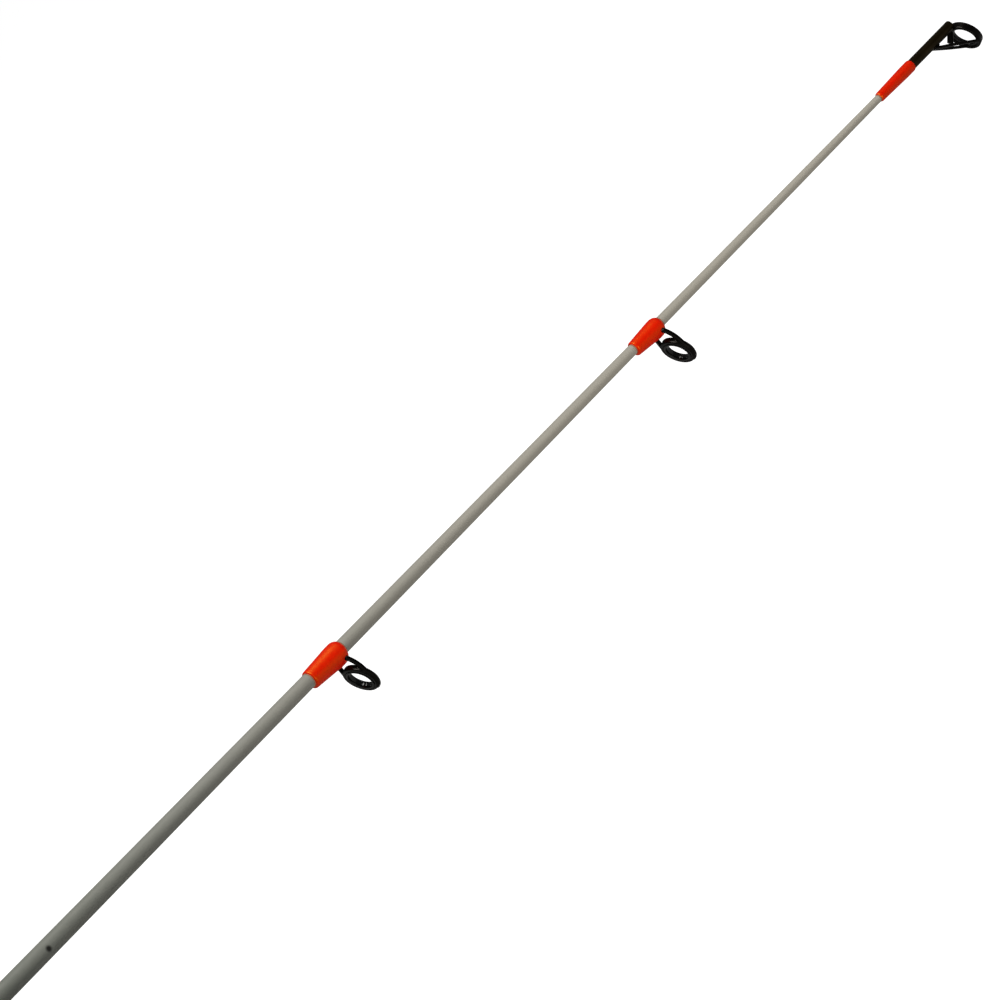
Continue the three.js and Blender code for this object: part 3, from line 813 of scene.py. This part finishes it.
def make_grip(name, node, points, edge, spigot=()):
    """A turned cork grip: glued discs with fine seams and small pits. spigot is its hidden end."""
    first, last = points[0][0], points[-1][0]

    def outer(x, angle):
        if spigot and x < first:
            return spigot[1]
        radius = curve_radius(points, x) - end_rounding(min(x - first, last - x), edge)
        seam = abs((x / DISC + 0.5) % 1 - 0.5) * DISC
        radius -= 0.05 * max(0.0, 1 - seam / 0.3)
        place = Vector((x * 0.55, radius * math.sin(angle), radius * math.cos(angle))) * 0.85
        pit = max(0.0, noise.noise(place) - 0.34) * 0.9
        return radius - min(pit, 0.28) - 0.02 * noise.noise(place * 3.1)

    stations = spaced(first, last, 0.45)
    if spigot:
        stations = [spigot[0], first - 0.001] + stations
    hole = blank_bore(stations[0])
    piece = polar_shell(name, stations, outer, lambda x, angle: hole, CORK, "rod", 168,
                        [stations[0], last])
    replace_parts(piece, node)


def make_trim_ring(node):
    """A thin turned ring with bevelled rims and a fine groove round its middle."""
    start, end, radius = low(node).x, high(node).x, high(node).y
    middle, bevel, hole = (start + end) / 2, 0.35, blank_bore(start)
    profile = [(start, hole), (start, radius - bevel), (start + bevel, radius),
               (middle - 0.3, radius), (middle, radius - 0.22), (middle + 0.3, radius),
               (end - bevel, radius), (end, radius - bevel), (end, hole)]
    piece = turned_ring(node + "_turned", profile, ANODISED, "rod", 0.12, 128)
    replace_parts(piece, node)


def make_butt_cap():
    """A moulded rubber cup over the grip's end, with three grip grooves."""
    end = high("butt_cap").x
    spigot, floor = 7.86, 7.0
    outline = [(0, 0.05), (0, 9), (1, 11), (3, 12.2)]
    for middle in (5.8, 8.3, 10.8):
        at = 12.2 + 0.4 * (middle - 3) / 11
        outline += [(middle - 0.6, at), (middle - 0.35, at - 0.4), (middle + 0.35, at - 0.4),
                    (middle + 0.6, at)]
    outline += [(14, 12.6), (end, 12.2), (end, spigot), (floor, spigot), (floor, 0.05)]
    vertices, faces = lathe(filleted(outline, 0.5, 4, closed=False), 128)
    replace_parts(new_piece("butt_cap_moulding", vertices, faces, RUBBER, "rod"),
                "butt_cap")


THREAD_DEPTH = 0.45
SEAT_BORE = 5.5
KEYWAY = {"half_width": 1.6, "floor": 7.0}


def wrapped(angle):
    """The angle from -Z, between -pi and pi."""
    return (angle + math.pi) % (2 * math.pi) - math.pi


def make_reel_seat():
    """The seat's tube, with a right-hand thread, a keyway on top and a pad under it."""
    node = "reel_seat_body"
    start, end, radius = low(node).x, high(node).x, high(node).y
    key_start, key_end = start + 3, high("sliding_hood").x + 13
    pad_start, pad_end = high("sliding_hood").x + 13.5, low("fixed_hood").x - 1
    pad_top, pad_half = -low(node).z, 5.4
    thread_start, thread_end = start + 1.5, high("sliding_hood").x - 5

    def thread_cut(x, angle):
        phase = (x / PITCH - angle / (2 * math.pi)) % 1
        crest = max(0.0, min(1.0, (abs(phase - 0.5) - 0.14) / 0.2))
        fade = eased((x - thread_start) / 1.5) * eased((thread_end - x) / 1.5)
        return THREAD_DEPTH * (1 - crest) * fade

    def outer(x, angle):
        under = wrapped(angle)
        above = wrapped(angle - math.pi)
        here = radius - thread_cut(x, angle) - end_rounding(min(x - start, end - x), 0.4)
        if key_start <= x <= key_end and radius * abs(math.sin(above)) < KEYWAY["half_width"] \
                and math.cos(above) > 0:
            return min(here, KEYWAY["floor"] / math.cos(above))
        if pad_start <= x <= pad_end and abs(under) < math.radians(60):
            flank = pad_half / max(abs(math.sin(under)), 1e-6)
            here = max(here, min(pad_top / math.cos(under), flank))
        return here

    stations = spaced(start, start + 0.4, 0.1) + spaced(start + 0.6, thread_end, 0.25)
    for edge in (key_end, pad_start, pad_end):
        stations += [edge - 0.002, edge + 0.002]
    stations += spaced(thread_end + 1, end - 0.5, 1.5) + spaced(end - 0.4, end, 0.1)
    stations += [key_start - 0.002, key_start + 0.002]
    piece = polar_shell("reel_seat_moulding", sorted(set(stations)), outer,
                        lambda x, angle: SEAT_BORE, SEAT, "rod", 180, [start, end])
    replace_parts(piece, node)


def make_lock_nut():
    """The grooved nut: sixteen scallops along its grip, and a plain lip against the hood."""
    start, end = low("lock_nut").x, high("lock_nut").x
    lip, grip, scallops = 10.2, 11.4, 16
    scallop_centre, scallop_radius = 11.7, 0.95
    outline = [(start, 10.3), (start + 0.35, 10.75), (start + 1, grip), (end - 3, grip),
               (end - 2.2, lip), (end - 0.3, lip), (end, lip - 0.3)]

    def outer(x, angle):
        radius = straight_radius(outline, x)
        turn = ((angle / (2 * math.pi) * scallops) % 1 - 0.5) * 2 * math.pi / scallops
        aside = scallop_centre * math.sin(turn)
        if x < end - 2.6 and abs(aside) < scallop_radius:
            depth = math.sqrt(scallop_radius ** 2 - aside ** 2) * 0.9
            floor = scallop_centre * math.cos(turn) - depth
            radius = min(radius, floor)
        return radius

    stations = [start, start + 0.35, start + 1] + spaced(start + 1.5, end - 3.5, 0.7)
    stations += [end - 3, end - 2.6, end - 2.2, end - 1.2, end - 0.3, end]
    hole = high("reel_seat_body").y + 0.12
    piece = polar_shell("lock_nut_turned", stations, outer, lambda x, angle: hole, ANODISED, "nut",
                        320, [start, end])
    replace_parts(piece, "lock_nut")


HOOD_WALL = 1.5
HOOD_BAND = 10.4  # the band's outer radius
HUMP_ROOT = 11.0  # how far down the hump reaches at the hood's closed end
POCKET = {"depth": 12.8, "half_width": 7.4, "bottom": 14.7}


def hump_reach(angle, half_width, bottom, corner):
    """From the axis to a round-cornered box under it, along the angle; 0 above the axis."""
    s, c = abs(math.sin(angle)), math.cos(angle)
    if c <= 0.02:
        return 0.0
    reach = min(bottom / c, half_width / max(s, 1e-6))
    y, z = half_width - corner, bottom - corner
    if reach * s > y and reach * c > z:
        ahead = s * y + c * z
        inside = ahead ** 2 - y ** 2 - z ** 2 + corner ** 2
        if inside > 0:
            reach = ahead + math.sqrt(inside)
    return reach


def soft_max(a, b, width):
    overlap = max(width - abs(a - b), 0.0) / width
    return max(a, b) + overlap * overlap * width / 4


def make_hood(node, facing, gap, body, keyed):
    """A hood over the reel's foot: a band round the seat with a hollow hump underneath.

    Its mouth faces +X when facing is 1, and -X when it is -1.
    """
    start, end = low(node).x, high(node).x
    band, hole = high(node).y, high("reel_seat_body").y + gap
    band = min(band, HOOD_BAND)
    half_width, bottom = POCKET["half_width"] + HOOD_WALL, POCKET["bottom"] + HOOD_WALL

    def from_mouth(x):
        return end - x if facing > 0 else x - start

    def from_back(x):
        return x - start if facing > 0 else end - x

    def outer(x, angle):
        mouth, back = from_mouth(x), from_back(x)
        rise = math.sin(min(1.0, back / 5.4) * math.pi / 2)
        hump = hump_reach(wrapped(angle), half_width * (0.9 + 0.1 * rise),
                          HUMP_ROOT + (bottom - HUMP_ROOT) * rise, 3.2)
        line = 0.22 * max(0.0, 1 - abs(mouth - 2.6) / 0.45)
        fall = end_rounding(mouth, 0.5) + end_rounding(back, 0.9) + line
        return soft_max(band, hump, 1.2) - fall

    def inner(x, angle):
        above = wrapped(angle - math.pi)
        if from_mouth(x) <= POCKET["depth"]:
            return max(hole, hump_reach(wrapped(angle), POCKET["half_width"], POCKET["bottom"], 0.8))
        if keyed and abs(hole * math.sin(above)) < KEYWAY["half_width"] - 0.25 \
                and math.cos(above) > 0 and from_back(x) > 1:
            return KEYWAY["floor"] + 0.25
        return hole

    stations = spaced(start, start + 1, 0.12) + spaced(start + 1.3, end - 1.3, 0.3)
    stations += spaced(end - 1, end, 0.12)
    blind = end - POCKET["depth"] if facing > 0 else start + POCKET["depth"]
    stations += [blind - 0.002, blind + 0.002]
    piece = polar_shell(node + "_shell", sorted(set(stations)), outer, inner, HOOD_METAL, body,
                        240)
    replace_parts(piece, node)


def finish_node(node, material):
    """A CAD piece whose shape is right gets its finish."""
    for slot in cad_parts[node].material_slots:
        slot.material = material


def make_handle():
    make_butt_cap()
    rear = [(16.3, 12), (34, 11.6), (58, 10.6), (80, 11), (92, 11.2), (96, 10.6)]
    make_grip("rear_grip_cork", "rear_grip", rear, 0.5, (7.3, 7.8))
    fore = [(201.6, 10.4), (204, 11), (210, 10.6), (220, 8.4), (226, 7.2), (228.4, 6.6)]
    make_grip("fore_grip_cork", "fore_grip", fore, 0.4)
    for node in ("rear_trim_ring", "front_trim_ring", "winding_check"):
        make_trim_ring(node)
    make_reel_seat()
    make_lock_nut()
    make_hood("sliding_hood", 1, 0.12, "hood", True)
    make_hood("fixed_hood", -1, 0.06, "rod", False)
    for node in ("arbor_rear", "arbor_front"):
        finish_node(node, BUSH)
    for node in ("sliding_hood_liner", "fixed_hood_liner"):
        finish_node(node, LINER)


# ---- stage, lights and camera --------------------------------------------------------------------

def make_camera():
    along, down, into = camera_axes()
    right = (along + down).normalized()
    up = (along - down).normalized()
    data = bpy.data.cameras.new("camera")
    data.sensor_width = SENSOR
    data.lens = SENSOR * CAMERA_DISTANCE / PICTURE_WIDTH
    data.clip_start = 0.05
    data.clip_end = 50
    camera = bpy.data.objects.new("camera", data)
    bpy.context.collection.objects.link(camera)
    target = Vector((TIP - FROM_TIP_AT_CENTRE, 0, 0)) + down * ASIDE
    place = (target - into * CAMERA_DISTANCE) * MM
    turn = Matrix((right, up, -into)).transposed()
    camera.matrix_world = Matrix.Translation(place) @ turn.to_4x4()
    bpy.context.scene.camera = camera


def area_light(name, place, aim, size, power, color=(1, 1, 1), spread=180):
    """A round light; spread is the full angle in degrees that it shines into."""
    data = bpy.data.lights.new(name, "AREA")
    data.spread = math.radians(spread)
    data.shape = "DISK"
    data.size = size
    data.energy = power
    data.color = color
    light = bpy.data.objects.new(name, data)
    bpy.context.collection.objects.link(light)
    light.location = place
    light.rotation_mode = "QUATERNION"
    light.rotation_quaternion = (Vector(aim) - Vector(place)).to_track_quat("-Z", "Y")


KEY_POWER = 13.0
LOW_FILL_POWER = 0.26
FRONT_FILL_POWER = 1.4
ROOM_STRENGTH = 0.08
BACKDROP_STRENGTH = 1.3


def make_lights():
    """A soft key from above, a warm fill from under the front half, and a weak one from the front."""
    along, down, into = camera_axes()
    aim = Vector((TIP - 190, 0, 0)) * MM
    area_light("key", aim + along * 0.12 - down * 0.95 - into * 0.42, aim, 0.75, KEY_POWER,
               (1.0, 0.985, 0.955))
    beside = Vector((TIP - 80, 0, 0)) * MM
    area_light("low_fill", beside + down * 0.3 - into * 0.53, beside, 0.3, LOW_FILL_POWER,
               (1.0, 0.965, 0.9), 62)
    area_light("front_fill", aim - along * 0.5 - into * 1.2, aim, 0.9, FRONT_FILL_POWER,
               (0.96, 0.98, 1.0))


def make_world():
    """White to the camera, and a dim even light to everything else."""
    world = bpy.data.worlds.new("studio")
    bpy.context.scene.world = world
    world.use_nodes = True
    tree = world.node_tree
    tree.nodes.clear()
    output = tree.nodes.new("ShaderNodeOutputWorld")
    mixer = tree.nodes.new("ShaderNodeMixShader")
    path = tree.nodes.new("ShaderNodeLightPath")
    lights = []
    for strength in (ROOM_STRENGTH, BACKDROP_STRENGTH):
        background = tree.nodes.new("ShaderNodeBackground")
        background.inputs["Color"].default_value = (1, 1, 1, 1)
        background.inputs["Strength"].default_value = strength
        lights.append(background)
    tree.links.new(path.outputs["Is Camera Ray"], mixer.inputs[0])
    tree.links.new(lights[0].outputs[0], mixer.inputs[1])
    tree.links.new(lights[1].outputs[0], mixer.inputs[2])
    tree.links.new(mixer.outputs[0], output.inputs["Surface"])
    bpy.context.scene.view_settings.view_transform = "Standard"


def make_floor():
    """A plain pale floor under the rod, bright enough to read as white; it lets the low fill by."""
    level = CAD_BOX[0][2] - 0.0002
    size = 6.0
    mesh = bpy.data.meshes.new("floor")
    corners = [(-size, -size, level), (size, -size, level), (size, size, level), (-size, size, level)]
    mesh.from_pydata(corners, [], [(0, 1, 2, 3)])
    floor = bpy.data.objects.new("floor", mesh)
    bpy.context.collection.objects.link(floor)
    shader = Shader("pale_floor", (0.24, 0.24, 0.24), 0.9)
    path = shader.node("ShaderNodeLightPath")
    glow = shader.math("MULTIPLY", path.outputs["Is Camera Ray"], 0.95)
    shader.set("Emission Color", (1, 1, 1, 1))
    shader.into("Emission Strength", glow)
    mesh.materials.append(shader.material)
    floor.visible_shadow = False


make_camera()
make_lights()
make_world()
make_floor()
make_blank()
for guide_name in GUIDES:
    make_guide_wrap(guide_name)
    make_guide(guide_name)
make_tip_wrap()
make_tip_top()
for node_name in ("hook_keeper_wrap_rear", "hook_keeper_wrap_front", "trim_wrap"):
    make_plain_wrap(node_name, 0.36)
make_keeper()
make_handle()
